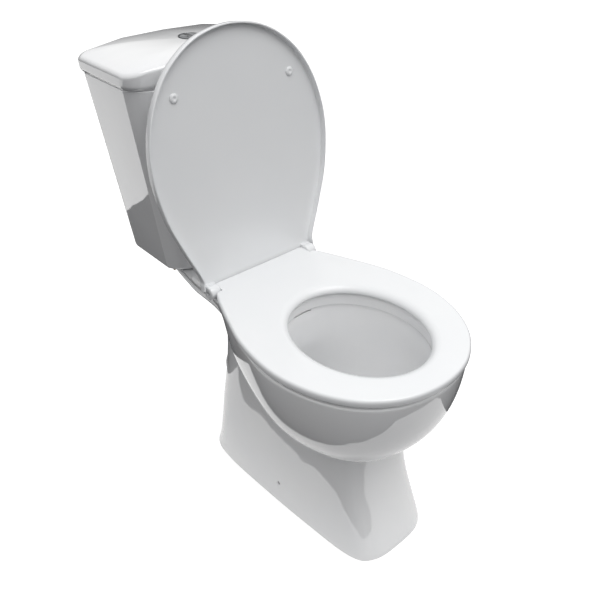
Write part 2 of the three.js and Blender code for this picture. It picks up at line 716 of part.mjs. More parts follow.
function floorBracket() {
  const outer = 84;
  const base = box(outer - 40, outer, bracketHoleY - 14, bracketHoleY + 14, gap, bracketSheet);
  const wall = box(outer - 3, outer, bracketHoleY - 14, bracketHoleY + 14, gap, bracketHoleZ + 12);
  const bore = crossBar(3, outer - 10, outer + 6, bracketHoleY, bracketHoleZ, 10);
  return cut(join(base, wall), bore);
}
addPair('floor_bracket', floorBracket(), steel);
addPair('floor_bracket_screw',
  cylinder(6, bracketSheet + gap, bracketSheet + 3.6, 62, bracketHoleY, 16), steel);

export default toilet;
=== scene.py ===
import math

import bpy
from mathutils import Matrix, Vector

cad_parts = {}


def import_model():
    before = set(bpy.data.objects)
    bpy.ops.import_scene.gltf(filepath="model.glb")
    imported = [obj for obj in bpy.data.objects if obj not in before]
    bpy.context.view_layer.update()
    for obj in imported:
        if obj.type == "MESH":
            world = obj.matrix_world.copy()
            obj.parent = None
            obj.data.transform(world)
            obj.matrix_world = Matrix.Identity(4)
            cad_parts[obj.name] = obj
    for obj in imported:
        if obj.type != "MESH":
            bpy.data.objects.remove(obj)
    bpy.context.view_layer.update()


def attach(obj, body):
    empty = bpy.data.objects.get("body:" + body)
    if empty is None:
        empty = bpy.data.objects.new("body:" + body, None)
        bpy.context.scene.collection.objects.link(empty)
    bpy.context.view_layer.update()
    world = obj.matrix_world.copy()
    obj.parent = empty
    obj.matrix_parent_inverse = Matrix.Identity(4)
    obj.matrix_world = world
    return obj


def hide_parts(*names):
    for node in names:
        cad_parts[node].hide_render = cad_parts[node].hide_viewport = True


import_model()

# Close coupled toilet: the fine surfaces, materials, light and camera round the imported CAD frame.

# ---------- driving dimensions, metres, in the row frame ----------
MM = 0.001
SEAT_BACK_Y = 0.083                      # rear edge of the seat, the datum of the plan
PAN_TOP = 0.397
DECK_TOP = 0.390
PAN_WALL = 0.011
BEAD = 0.005                             # radius of the rolled edge between bowl and pedestal
BOWL_WALL = 0.012
SEAT_BOTTOM = 0.403
SEAT_TOP = 0.417
HINGE_Y = SEAT_BACK_Y - 0.009
HINGE_Z = 0.410
COVER_ANGLE = math.radians(100)
TANK_BOTTOM = 0.392
TANK_TOP = 0.742
TANK_WALL = 0.010
LID_BOTTOM = TANK_TOP + 0.00035
LID_EDGE_TOP = 0.767                     # at the lid's ends
LID_CROWN = 0.018                        # arch of the lid from end to end
LID_DOME = 0.004                         # further rise from its edges to its middle
LID_HALF_WIDTH = 0.173
CISTERN_BACK_Y = SEAT_BACK_Y + 0.268
CISTERN_MIDDLE_Y = SEAT_BACK_Y + 0.165
VALVE_Y = SEAT_BACK_Y + 0.172
BUTTON_RADIUS = 0.019
BUTTON_Y = SEAT_BACK_Y + 0.179
BUTTON_TOP = LID_EDGE_TOP + LID_CROWN + LID_DOME + 0.0015
BUTTON_DEPTH = 0.022
ROD_LENGTH = 0.062                       # from the button's top to the push rod's end
VALVE_BORE = 0.028
RECESS_RADIUS = 0.050                    # well in the deck that takes the coupling washer
RECESS_FLOOR = 0.364
CISTERN_BOLT_X = 0.065
FILL_VALVE_X = 0.083
FILL_VALVE_Y = SEAT_BACK_Y + 0.212
PLATFORM_FRONT_Y = SEAT_BACK_Y + 0.072
HINGE_POST_X = 0.077
KNUCKLE_X = 0.1135
KNUCKLE_WIDTH = 0.020
KNUCKLE_RADIUS = 0.0124
PIN_RADIUS = 0.0037
NOTCH_X = 0.103                          # the seat's rear is narrowed beyond this to clear the knuckles
GAP = 0.00035                            # space kept between touching pieces
TRAP_BORE = 0.036
TRAP_WALL = 0.009
TRAP_PATH = [(-125, 195), (-75, 212), (-25, 220), (20, 202), (60, 182), (100, 180)]
ARCH_HALF_WIDTH = 0.064
ARCH_SPRING = 0.186
OUTLET_RADIUS = 0.051
OUTLET_BORE = 0.042
OUTLET_Z = 0.180
OUTLET_END_Y = SEAT_BACK_Y + 0.050
BRACKET_HOLE_Y = SEAT_BACK_Y - 0.168
BRACKET_HOLE_Z = 0.043
SIDE_HOLE_RADIUS = 0.0038
HINGE_HOLE_RADIUS = 0.008
BOLT_HOLE_RADIUS = 0.0065
NUT_SEAT_RADIUS = 0.016
FILL_HOLE_RADIUS = 0.011
RIM_ROUND = 0.006                        # radius of the pan's top edge
SEAT_TOOLS_LOW = 0.38                    # heights that clear the seat and the cover below and above
SEAT_TOOLS_HIGH = 0.44
COVER_PAD_X = 0.119
COVER_PAD_PLACE = -342                   # pads: millimetres behind the seat's rear edge
SEAT_PAD_X = 0.132
SEAT_PAD_REAR_PLACE = -90
SEAT_PAD_FRONT_PLACE = -340
COLUMNS = 192                            # points round each fine ring


def y_at(millimetres):
    """A place along Y, given in millimetres behind the seat's rear edge."""
    return SEAT_BACK_Y + millimetres * MM


# ---------- curves and lofts ----------
def spline(points, share):
    """Uniform Catmull-Rom through open points; share runs from 0 to 1."""
    spans = len(points) - 1
    place = min(share * spans, spans - 1e-9)
    i = int(place)
    t = place - i
    p1, p2 = points[i], points[i + 1]
    p0 = points[i - 1] if i > 0 else p1 * 2 - p2
    p3 = points[i + 2] if i + 2 <= spans else p2 * 2 - p1
    return 0.5 * (
        2 * p1 + (p2 - p0) * t + (2 * p0 - 5 * p1 + 4 * p2 - p3) * t**2 + (3 * p1 - p0 - 3 * p2 + p3) * t**3
    )


def smooth_ring(half, count=COLUMNS):
    """A closed ring through half an outline in millimetres, front middle to rear middle, mirrored."""
    right = [Vector((x * MM, y_at(y), z * MM)) for x, y, z in half]
    left = [Vector((-p.x, p.y, p.z)) for p in right[-2:0:-1]]
    points = right + left
    total = len(points)
    ring = []
    for column in range(count):
        place = column * total / count
        i = int(place)
        t = place - i
        p0, p1, p2, p3 = (points[(i + step) % total] for step in (-1, 0, 1, 2))
        ring.append(0.5 * (
            2 * p1 + (p2 - p0) * t + (2 * p0 - 5 * p1 + 4 * p2 - p3) * t**2
            + (3 * p1 - p0 - 3 * p2 + p3) * t**3
        ))
    return ring


def offset(ring, distance, lift=0.0):
    """The ring moved outwards in plan, and up."""
    moved = []
    for i, point in enumerate(ring):
        along = ring[(i + 1) % len(ring)] - ring[i - 1]
        along.z = 0
        along.normalize()
        moved.append(point + Vector((along.y, -along.x, 0)) * distance + Vector((0, 0, lift)))
    return moved


def at_height(plan, z):
    return [(x, y, z) for x, y in plan]


def mesh_object(name, vertices, faces):
    mesh = bpy.data.meshes.new(name)
    mesh.from_pydata([tuple(v) for v in vertices], [], faces)
    mesh.validate()
    obj = bpy.data.objects.new(name, mesh)
    bpy.context.scene.collection.objects.link(obj)
    return obj


def loft(name, rings):
    """A closed solid through rings that run anticlockwise seen from the end they climb towards."""
    count = len(rings[0])
    vertices = [point for ring in rings for point in ring]
    faces = []
    for row in range(len(rings) - 1):
        for i in range(count):
            j = (i + 1) % count
            a = row * count
            b = a + count
            faces.append((a + i, a + j, b + j, b + i))
    last = (len(rings) - 1) * count
    faces.append(tuple(range(count - 1, -1, -1)))
    faces.append(tuple(range(last, last + count)))
    return mesh_object(name, vertices, faces)


def turned(name, profile, x=0.0, y=0.0, segments=96):
    """A lathed solid round a vertical axis. Its profile closes on the axis or on itself."""
    on_axis = profile[0][0] == 0 and profile[-1][0] == 0
    inner = profile[1:-1] if on_axis else profile
    rings = []
    for radius, z in inner:
        rings.append([
            Vector((x + radius * math.sin(a), y - radius * math.cos(a), z))
            for a in (2 * math.pi * i / segments for i in range(segments))
        ])
    if on_axis:
        return loft(name, rings)
    vertices = [point for ring in rings for point in ring]
    faces = []
    rows = len(rings)
    for row in range(rows):
        a = row * segments
        b = ((row + 1) % rows) * segments
        for i in range(segments):
            j = (i + 1) % segments
            faces.append((a + i, a + j, b + j, b + i))
    return mesh_object(name, vertices, faces)


def disc(name, radius, low, high, x, y, segments=96):
    return turned(name, [(0, low), (radius, low), (radius, high), (0, high)], x, y, segments)


def block(name, low, high):
    x0, y0, z0 = low
    x1, y1, z1 = high
    ring = [(x0, y0), (x1, y0), (x1, y1), (x0, y1)]
    return loft(name, [[Vector((x, y, z)) for x, y in ring] for z in (z0, z1)])


def cross_bar(name, radius, x0, x1, y, z, segments=64):
    """A rod along X."""
    bar = disc(name, radius, x0, x1, 0, 0, segments)
    bar.data.transform(Matrix.Translation((0, y, z)) @ Matrix.Rotation(math.pi / 2, 4, "Y"))
    return bar


def long_bar(name, radius, y0, y1, x, z, segments=64):
    """A rod along Y."""
    bar = disc(name, radius, y0, y1, 0, 0, segments)
    bar.data.transform(Matrix.Translation((x, 0, z)) @ Matrix.Rotation(-math.pi / 2, 4, "X"))
    return bar


def combine(target, tools, operation):
    """Cuts or joins the tools with the target, and removes them."""
    for tool in tools:
        modifier = target.modifiers.new("combine", "BOOLEAN")
        modifier.operation = operation
        modifier.solver = "MANIFOLD"
        modifier.object = tool
    graph = bpy.context.evaluated_depsgraph_get()
    mesh = bpy.data.meshes.new_from_object(target.evaluated_get(graph))
    target.modifiers.clear()
    old = target.data
    target.data = mesh
    bpy.data.meshes.remove(old)
    for tool in tools:
        bpy.data.objects.remove(tool)
    return target


def smooth(obj, degrees=38):
    """Smooth shading that keeps edges sharper than an angle."""
    mesh = obj.data
    mesh.shade_smooth()
    mesh.set_sharp_from_angle(angle=math.radians(degrees))
    return obj


# ---------- pan ----------
# Half outlines in millimetres: front middle, front, front corner, widest, behind the widest, beside the
# hinge, beside the cistern, rear corner, rear middle; x, distance behind the seat's rear edge, height.
FLOOR = [
    (0, -394, 0), (58, -387, 0), (87, -352, 0), (98, -240, 0), (103, -120, 0),
    (103, -25, 0), (92, 30, 0), (55, 62, 0), (0, 70, 0),
]
FLARE = [
    (0, -389, 25), (56, -382, 25), (84, -347, 25), (95, -238, 25), (99.5, -120, 25),
    (99, -27, 25), (88, 26, 25), (54, 58, 25), (0, 66, 25),
]
WAIST = [
    (0, -357, 110), (50, -350, 110), (77, -318, 110), (88, -225, 108), (93, -125, 108),
    (93, -32, 108), (83, 18, 108), (52, 50, 108), (0, 58, 108),
]
NECK = [
    (0, -336, 190), (46, -331, 190), (73, -302, 190), (84, -225, 195), (91, -135, 225),
    (87, -48, 280), (70, 12, 290), (46, 42, 295), (0, 50, 297),
]
KEEL = [
    (0, -332, 204), (46, -328, 204), (73, -300, 206), (88, -228, 210), (100, -138, 247),
    (92, -40, 343), (66, 70, 328), (52, 172, 332), (0, 212, 338),
]
RIDGE = [
    (0, -338, 210), (50, -334, 211), (80, -305, 213), (100, -234, 221), (117, -128, 272),
    (107, -32, 364), (95, 86, 368), (65, 198, 368), (0, 232, 370),
]
RIM = [
    (0, -430, 397), (92, -405, 397), (155, -335, 397), (178, -230, 397),
    (147, -105, 397), (113, -18, 397), (101, 84, 397), (70, 204, 397),
    (0, 238, 397),
]
BOWL_LEVELS = [
    (30, -172, -98, 168), (40, -205, -88, 180), (56, -262, -92, 208), (84, -336, -110, 256),
    (105, -372, -124, 305), (115, -385, -122, 352), (119, -388, -118, 371), (115.5, -385, -121, 376),
    (115.5, -385, -121, 386), (116.5, -386, -120, 392), (121, -390.5, -115, 397.1),
]


def bezier(p0, p1, p2, p3, t):
    s = 1 - t
    return p0 * s**3 + p1 * (3 * s * s * t) + p2 * (3 * s * t * t) + p3 * t**3


def bowl_side(rim, ridge, share):
    """The side of the bowl falls from the rim and rolls under to the ridge."""
    upright, belly, lift = 0.51, 0.67, 0.08
    ring = []
    for top, bottom in zip(rim, ridge):
        drop = top.z - bottom.z
        upper = Vector((top.x, top.y, top.z - drop * upright))
        lower = bottom.lerp(top, belly)
        lower.z = bottom.z + drop * lift
        ring.append(bezier(bottom, lower, upper, top, share))
    return ring


def rise(rings, steps):
    """Rings filled in between the given ones by a smooth curve up each column."""
    filled = []
    total = (len(rings) - 1) * steps
    for row in range(total + 1):
        filled.append([spline([ring[i] for ring in rings], row / total) for i in range(len(rings[0]))])
    return filled


def pan_outside():
    floor, flare, waist, neck = (smooth_ring(half) for half in (FLOOR, FLARE, WAIST, NECK))
    keel, ridge, rim = (smooth_ring(half) for half in (KEEL, RIDGE, RIM))
    rim_edge = offset(rim, 0, -RIM_ROUND)
    pedestal = rise([offset(floor, 0, 0.0015), flare, waist, neck, keel, offset(ridge, -0.007, -0.007)], 8)
    bead = []
    for step in range(9):
        angle = math.radians(-80 + 20 * step)
        bead.append(offset(ridge, BEAD * (math.cos(angle) - 0.8), BEAD * math.sin(angle)))
    cove = offset(ridge, -BEAD * 1.7, BEAD * 1.3)
    sides = [bowl_side(rim_edge, cove, step / 28) for step in range(28)]
    edge = []
    for step in range(7):
        angle = step * math.pi / 12
        edge.append(offset(rim, -RIM_ROUND * (1 - math.cos(angle)), -RIM_ROUND * (1 - math.sin(angle))))
    return loft("pan", [offset(floor, -0.0015), *pedestal, *bead, *sides, *edge])


def pan_hollow():
    """The hollow under the bowl and inside the pedestal, open to the floor."""
    def inside(half, lift=0.0):
        return offset(smooth_ring(half), -PAN_WALL, lift)

    rim, ridge = smooth_ring(RIM), smooth_ring(RIDGE)
    shaft = inside(NECK)
    stations, front_reach, fade = 16, 5.2, 1.2
    narrowing, shaft_gap, shaft_rear = 0.82, 0.014, y_at(8)

    def level(outer, distance, lift, z):
        ring = []
        for i, point in enumerate(offset(outer, -distance, lift)):
            station = i / COLUMNS * stations
            from_front = min(station, stations - station)
            front = min(max((front_reach - from_front) / fade, 0), 1)
            back = Vector((shaft[i].x * narrowing, min(shaft[i].y - shaft_gap, shaft_rear), z))
            ring.append(back.lerp(point, front))
        return ring

    rim_edge = offset(rim, 0, -RIM_ROUND)
    return loft("pan_hollow", [
        inside(FLOOR, -0.005), inside(FLARE), inside(WAIST), inside(NECK, 0.004),
        level(ridge, PAN_WALL + 0.003, 0.009, 0.312),
        level(bowl_side(rim_edge, ridge, 0.3), PAN_WALL + 0.001, 0.003, 0.332),
        level(bowl_side(rim_edge, ridge, 0.6), PAN_WALL + 0.001, 0, 0.352),
        level(rim, PAN_WALL + 0.004, -0.024, 0.372),
    ])


def bowl(name, grow, levels, steps):
    """The bowl's shape as a solid: grown for its outside, as it is for its inside."""
    stations = [Vector(level) for level in levels]
    total = (len(stations) - 1) * steps
    rings = []
    for row in range(total + 1):
        half, front, rear, z = spline(stations, row / total)
        centre, length = (front + rear) / 2, (rear - front) / 2
        lift = -grow if row == 0 else 0
        rings.append([
            Vector((
                (half + grow) * MM * math.sin(a),
                y_at(centre) - (length + grow) * MM * math.cos(a),
                (z + lift) * MM,
            )) for a in (2 * math.pi * i / COLUMNS for i in range(COLUMNS))
        ])
    return loft(name, rings)


def tube(name, path, radius, steps=60, segments=48):
    """A round bar along a path that bends only in the plane of Y and Z."""
    places = [Vector((0, y_at(y), z * MM)) for y, z in path]
    rings = []
    for step in range(steps + 1):
        share = step / steps
        along = spline(places, min(share + 0.002, 1)) - spline(places, max(share - 0.002, 0))
        along.normalize()
        normal = Vector((0, -along.z, along.y))
        centre = spline(places, share)
        rings.append([
            centre + Vector((math.cos(a) * radius, 0, 0)) - normal * (math.sin(a) * radius)
            for a in (2 * math.pi * i / segments for i in range(segments))
        ])
    return loft(name, rings)


def trap_outside():
    barrel = tube("trap", TRAP_PATH, TRAP_BORE + TRAP_WALL)
    spigot = long_bar("spigot", OUTLET_RADIUS, OUTLET_END_Y - 0.044, OUTLET_END_Y + 0.002, 0, OUTLET_Z)
    beyond = block("beyond", (-0.08, OUTLET_END_Y, 0.1), (0.08, OUTLET_END_Y + 0.06, 0.3))
    combine(barrel, [spigot], "UNION")
    return combine(barrel, [beyond], "DIFFERENCE")


def water_ways():
    """The tools that cut the trap's bore, the outlet's socket and the flush way."""
    duct_floor, slot_top = 0.350, 0.372
    half, riser_front = 0.020, y_at(-114)
    riser_back = riser_front + 0.009
    return [
        tube("trap_bore", TRAP_PATH, TRAP_BORE),
        long_bar("outlet_mouth", OUTLET_BORE, OUTLET_END_Y - 0.03, OUTLET_END_Y + 0.03, 0, OUTLET_Z),
        disc("inlet", VALVE_BORE, duct_floor, RECESS_FLOOR + 0.016, 0, VALVE_Y),
        disc("recess", RECESS_RADIUS, RECESS_FLOOR, DECK_TOP + 0.01, 0, VALVE_Y),
        block("duct", (-half, riser_front, duct_floor), (half, VALVE_Y, duct_floor + 0.011)),
        block("riser", (-half, riser_front, duct_floor), (half, riser_back, slot_top)),
        block("slot", (-half, y_at(-135), slot_top - 0.0025), (half, riser_back, slot_top)),
    ]


def platform_tool():
    """Cuts the lower platform for the cistern, with a soft step up to the deck."""
    radius, squash = 0.012, 0.58
    half = 0.14
    profile = [(PLATFORM_FRONT_Y, PAN_TOP + 0.01)]
    for step in range(9):
        angle = step / 8 * math.pi / 2
        profile.append((
            PLATFORM_FRONT_Y + radius * squash * (1 - math.cos(angle)),
            DECK_TOP + radius * squash * (1 - math.sin(angle)),
        ))
    profile += [(y_at(290), DECK_TOP), (y_at(290), PAN_TOP + 0.01)]
    return loft("platform", [[Vector((x, y, z)) for y, z in profile] for x in (-half, half)])


def fixing_tools():
    """Holes for the side screws, the hinges and the cistern bolts, and the seats of their nuts."""
    under_deck = 0.300
    tools = [cross_bar("side_holes", SIDE_HOLE_RADIUS, -0.14, 0.14, BRACKET_HOLE_Y, BRACKET_HOLE_Z)]
    for side in (-1, 1):
        x = side * HINGE_POST_X
        tools.append(disc("hinge_hole", HINGE_HOLE_RADIUS, PAN_TOP - 0.030, PAN_TOP + 0.005, x, HINGE_Y))
        x = side * CISTERN_BOLT_X
        tools.append(disc("bolt_hole", BOLT_HOLE_RADIUS, under_deck, DECK_TOP + 0.005, x, VALVE_Y))
        tools.append(disc("nut_seat", NUT_SEAT_RADIUS, under_deck, DECK_TOP - 0.022, x, VALVE_Y))
    return tools


def pan():
    body = pan_outside()
    arch = block("arch", (-ARCH_HALF_WIDTH, y_at(20), -0.01), (ARCH_HALF_WIDTH, y_at(100), ARCH_SPRING))
    arch_top = long_bar("arch_top", ARCH_HALF_WIDTH, y_at(20), y_at(100), 0, ARCH_SPRING)
    combine(arch, [arch_top], "UNION")
    combine(body, [pan_hollow(), arch], "DIFFERENCE")
    shell = bowl("bowl_outside", BOWL_WALL / MM, BOWL_LEVELS[:9], 4)
    combine(shell, [pan_outside()], "INTERSECT")
    combine(body, [shell, trap_outside()], "UNION")
    tools = [bowl("bowl_inside", 0, BOWL_LEVELS, 6), platform_tool()]
    combine(body, tools + water_ways() + fixing_tools(), "DIFFERENCE")
    return smooth(body)


# ---------- cistern ----------
def cistern_ring(half_width, front_middle, front_corner, back, radius, z, turn=math.pi / 2, fineness=14):
    """A rounded box in plan with a bowed front. A turn under a quarter leaves a crease at the side."""
    bow = front_corner - front_middle
    straight = half_width - radius
    points = []
    for i in range(fineness + 1):
        x = straight * i / fineness
        points.append((x, front_middle + bow * (x / straight) ** 2))
    start = math.atan2(2 * bow, straight)
    centre_x = straight - radius * math.sin(start) * 0.4
    for i in range(1, fineness + 1):
        angle = start + (turn - start) * i / fineness
        points.append((
            centre_x + (half_width - centre_x) * math.sin(angle) / math.sin(turn),
            front_corner + radius * (1 - math.cos(angle)) / (1 - math.cos(turn)),
        ))
    rear_radius = 0.016
    for i in range(fineness + 1):
        angle = math.pi / 2 * i / fineness
        points.append((
            half_width - rear_radius * (1 - math.cos(angle)),
            back - rear_radius * (1 - math.sin(angle)),
        ))
    points += [(half_width / 2, back), (0, back)]
    right = [Vector((x, y, z)) for x, y in points]
    return right + [Vector((-p.x, p.y, p.z)) for p in right[-2:0:-1]]


def mix(a, b, share):
    return a + (b - a) * share


def tank_ring(z, inset):
    """The tank narrows downwards: ring at a height, inset all round."""
    share = (z - TANK_BOTTOM) / (TANK_TOP - TANK_BOTTOM)
    return cistern_ring(
        mix(0.117, 0.168, share) - inset, mix(y_at(82), y_at(72), share) + inset,
        mix(y_at(100), y_at(98), share) + inset, mix(y_at(252), y_at(263), share) - inset,
        0.030 - inset * 0.6, z, math.radians(50),
    )


def rounded(ring_at, z, depth, direction, steps=6):
    """Rings round an edge. ring_at takes a height and an inset; direction is 1 at a top, -1 at a bottom."""
    rings = []
    for step in range(steps + 1):
        angle = step / steps * math.pi / 2
        inset = depth * (1 - math.cos(angle))
        rings.append(ring_at(z - direction * depth * (1 - math.sin(angle)), inset))
    return rings if direction > 0 else rings[::-1]


def tank():
    low = rounded(tank_ring, TANK_BOTTOM, 0.010, -1)
    high = rounded(tank_ring, TANK_TOP, 0.003, 1, 4)
    sides = [tank_ring(TANK_BOTTOM + 0.12, 0), tank_ring(TANK_BOTTOM + 0.24, 0)]
    body = loft("cistern_tank", low + sides + high)
    inside = loft("tank_inside", [
        tank_ring(TANK_BOTTOM + 0.012, TANK_WALL + 0.006), tank_ring(TANK_BOTTOM + 0.020, TANK_WALL),
        tank_ring(TANK_BOTTOM + 0.18, TANK_WALL), tank_ring(TANK_TOP + 0.005, TANK_WALL),
    ])
    low_z, high_z = TANK_BOTTOM - 0.005, TANK_BOTTOM + 0.020
    tools = [
        inside, disc("valve_hole", VALVE_BORE, low_z, high_z, 0, VALVE_Y),
        disc("fill_hole", FILL_HOLE_RADIUS, low_z, high_z, FILL_VALVE_X, FILL_VALVE_Y),
    ]
    for side in (-1, 1):
        tools.append(disc("bolt_hole", BOLT_HOLE_RADIUS, low_z, high_z, side * CISTERN_BOLT_X, VALVE_Y))
    combine(body, tools, "DIFFERENCE")
    return smooth(body, 14)


def lid_ring(inset, z, share=1.0):
    """The lid's plan, shrunk to a share of its size about its middle."""
    ring = cistern_ring(
        LID_HALF_WIDTH - inset, y_at(72.5) + inset, y_at(95) + inset, CISTERN_BACK_Y - inset,
        0.034 - inset * 0.6, z,
    )
    dome = LID_DOME * (1 - share**2)
    return [Vector((p.x * share, mix(CISTERN_MIDDLE_Y, p.y, share), z + dome)) for p in ring]


def arched_lid_ring(inset, z, share=1.0):
    """A ring of the lid's top, which follows its arch."""
    ring = lid_ring(inset, z, share)
    for point in ring:
        point.z += LID_CROWN * (1 - abs(point.x / LID_HALF_WIDTH) ** 3)
    return ring


def cistern_lid():
    foot = [lid_ring(0.005, LID_BOTTOM)]
    for step in range(1, 7):
        height = LID_BOTTOM + 0.010 * step / 6
        foot.append(lid_ring(0.0005 + 0.0045 * (1 - step / 6) ** 2.5, height))
    edge = []
    radius = 0.0075
    for step in range(9):
        angle = step / 8 * math.pi / 2
        inset, fall = radius * (1 - math.cos(angle)), radius * (1 - math.sin(angle))
        edge.append(arched_lid_ring(inset, LID_EDGE_TOP - fall))
    crown = [arched_lid_ring(radius, LID_EDGE_TOP, 1 - step / 16) for step in range(1, 16)]
    body = loft("cistern_lid", foot + edge + crown)
    ceiling = LID_EDGE_TOP - 0.011
    inside = loft("lid_inside", [
        lid_ring(0.019, LID_BOTTOM - 0.003), arched_lid_ring(0.019, ceiling),
        *[arched_lid_ring(0.019, ceiling, 1 - step / 6) for step in range(1, 6)],
    ])
    hole = disc("button_hole", BUTTON_RADIUS + 0.0026, LID_BOTTOM, LID_EDGE_TOP + 0.05, 0, BUTTON_Y)
    lip = loft("lid_lip", [lid_ring(0.0192, LID_BOTTOM - 0.008), lid_ring(0.0186, LID_BOTTOM + 0.002)])
    lip_inset = 0.025
    lip_inside = loft("lip_inside", [
        lid_ring(lip_inset, LID_BOTTOM - 0.012), lid_ring(lip_inset, LID_BOTTOM + 0.006),
    ])
    combine(lip, [lip_inside], "DIFFERENCE")
    combine(body, [inside], "DIFFERENCE")
    combine(body, [lip], "UNION")
    combine(body, [hole], "DIFFERENCE")
    return smooth(body)


# ---------- seat and cover ----------
def seat_plan(grow):
    """An egg-shaped outline in millimetres: superellipse front, nearly straight sides, narrow rear."""
    widest_y, power = -231, 2 / 2.1
    half_width, length = 178 + grow, 199 + grow
    front = [
        (half_width * math.sin(a) ** power, widest_y - length * math.cos(a) ** power)
        for a in (math.radians(d) for d in (0, 20, 40, 58, 75, 89.999))
    ]
    return front + [(168 + grow, -160), (147 + grow, -100), (122 + grow, -40)]


def seat_outline(grow, z):
    rear = [(112 + grow, -22), (109 + grow, -6), (98, 0.4), (50, 0.4), (0, 0.4)]
    return smooth_ring(at_height(seat_plan(grow) + rear, z))


def seat_hole(grow, z):
    return [
        Vector(((108 + grow) * MM * math.sin(a), y_at(-254) - (125 + grow) * MM * math.cos(a), z * MM))
        for a in (2 * math.pi * i / COLUMNS for i in range(COLUMNS))
    ]


def seat():
    body = loft("seat", [
        seat_outline(1, 403), seat_outline(2.6, 403.6), seat_outline(3.6, 405), seat_outline(4, 407),
        seat_outline(4, 411), seat_outline(3.6, 413.2), seat_outline(2.6, 415.2), seat_outline(1.2, 416.4),
        seat_outline(-0.4, 416.9), seat_outline(-2.5, 417),
    ])
    opening = loft("seat_opening", [
        seat_hole(2.5, 402), seat_hole(0.8, 403.6), seat_hole(0, 405.5), seat_hole(0.5, 408.5),
        seat_hole(2, 411.2), seat_hole(4.6, 413.6), seat_hole(8, 415.4), seat_hole(12, 416.6),
        seat_hole(15.5, 417.05), seat_hole(17, 417.5),
    ])
    tools = [opening]
    for side in (-1, 1):
        outer = sorted((side * NOTCH_X, side * 0.150))
        near = (outer[0], HINGE_Y - 0.015, SEAT_TOOLS_LOW)
        tools.append(block("notch", near, (outer[1], y_at(20), SEAT_TOOLS_HIGH)))
        bore = sorted((side * 0.069, side * 0.113))
        tools.append(cross_bar("pin_bore", PIN_RADIUS + GAP, *bore, HINGE_Y, HINGE_Z))
        tools.append(post_pocket(side))
    combine(body, tools, "DIFFERENCE")
    return smooth(body)


def post_pocket(side):
    """Room for the hinge post as the seat swings up round it."""
    x0, x1 = side * HINGE_POST_X - 0.007, side * HINGE_POST_X + 0.007
    pocket = cross_bar("pocket", 0.0066, x0, x1, HINGE_Y, HINGE_Z)
    below = block("below", (x0, HINGE_Y - 0.0036, HINGE_Z - 0.012), (x1, HINGE_Y + 0.014, HINGE_Z + 0.002))
    swing = block("swing", (x0, 0, -0.00345), (x1, 0.014, 0.00345))
    turn = Matrix.Rotation(COVER_ANGLE - math.pi / 2, 4, "X")
    swing.data.transform(Matrix.Translation((0, HINGE_Y, HINGE_Z)) @ turn)
    return combine(pocket, [below, swing], "UNION")


def cover_outline(grow, z):
    rear = [(121 + grow, -22), (121 + grow, -6), (112, 4), (50, 4), (0, 4)]
    return smooth_ring(at_height(seat_plan(grow) + rear, z))


def open_cover(obj):
    """Turns a piece of the closed cover to where it stands open."""
    turn = Matrix.Translation((0, HINGE_Y, HINGE_Z)) @ Matrix.Rotation(-COVER_ANGLE, 4, "X")
    obj.data.transform(turn @ Matrix.Translation((0, -HINGE_Y, -HINGE_Z)))
    return obj


def knuckle(x0, x1):
    """A barrel round the hinge pin with rounded ends."""
    radius, soft = KNUCKLE_RADIUS, 0.0025
    profile = [(0, x0)]
    for step in range(5):
        angle = step / 4 * math.pi / 2
        profile.append((radius - soft * (1 - math.sin(angle)), x0 + soft * (1 - math.cos(angle))))
    for step in range(5):
        angle = step / 4 * math.pi / 2
        profile.append((radius - soft * (1 - math.cos(angle)), x1 - soft * (1 - math.sin(angle))))
    barrel = turned("knuckle", profile + [(0, x1)])
    barrel.data.transform(Matrix.Translation((0, HINGE_Y, HINGE_Z)) @ Matrix.Rotation(math.pi / 2, 4, "Y"))
    return barrel


def seat_cover():
    inside_z = 420.6
    body = loft("seat_cover", [
        cover_outline(6.8, inside_z - 10), cover_outline(7.8, inside_z - 9.2),
        cover_outline(8.2, inside_z - 7), cover_outline(8.2, inside_z),
        cover_outline(7.6, inside_z + 2.2), cover_outline(6, inside_z + 3.8),
        cover_outline(3.7, inside_z + 4.7), cover_outline(0.5, inside_z + 5),
    ])
    inside = loft("cover_inside", [
        cover_outline(6, inside_z - 14), cover_outline(5, inside_z - 9), cover_outline(4.8, inside_z - 1.4),
        cover_outline(3.8, inside_z),
    ])
    rear_front_y = HINGE_Y - 0.0056
    rear = block("cover_rear", (-0.14, rear_front_y, SEAT_TOOLS_LOW), (0.14, y_at(40), SEAT_TOOLS_HIGH))
    combine(body, [inside, rear], "DIFFERENCE")
    for side in (-1, 1):
        middle = side * KNUCKLE_X
        x0, x1 = middle - KNUCKLE_WIDTH / 2, middle + KNUCKLE_WIDTH / 2
        arm = block("arm", (x0, HINGE_Y - 0.013, inside_z * MM - 0.007), (x1, HINGE_Y, inside_z * MM + 0.004))
        combine(body, [knuckle(x0, x1), arm], "UNION")
        through = (middle - KNUCKLE_WIDTH, middle + KNUCKLE_WIDTH)
        bore = cross_bar("bore", PIN_RADIUS + GAP, *through, HINGE_Y, HINGE_Z)
        combine(body, [bore], "DIFFERENCE")
    return smooth(open_cover(body))


# ---------- small pieces ----------
def soft_disc(name, radius, low, high, soft, x, y):
    """A button or pad with rounded upper and lower edges."""
    profile = [(0, low)]
    for step in range(5):
        angle = step / 4 * math.pi / 2
        profile.append((radius - soft * (1 - math.sin(angle)), low + soft * (1 - math.cos(angle))))
    for step in range(5):
        angle = step / 4 * math.pi / 2
        profile.append((radius - soft * (1 - math.cos(angle)), high - soft * (1 - math.sin(angle))))
    return turned(name, profile + [(0, high)], x, y)


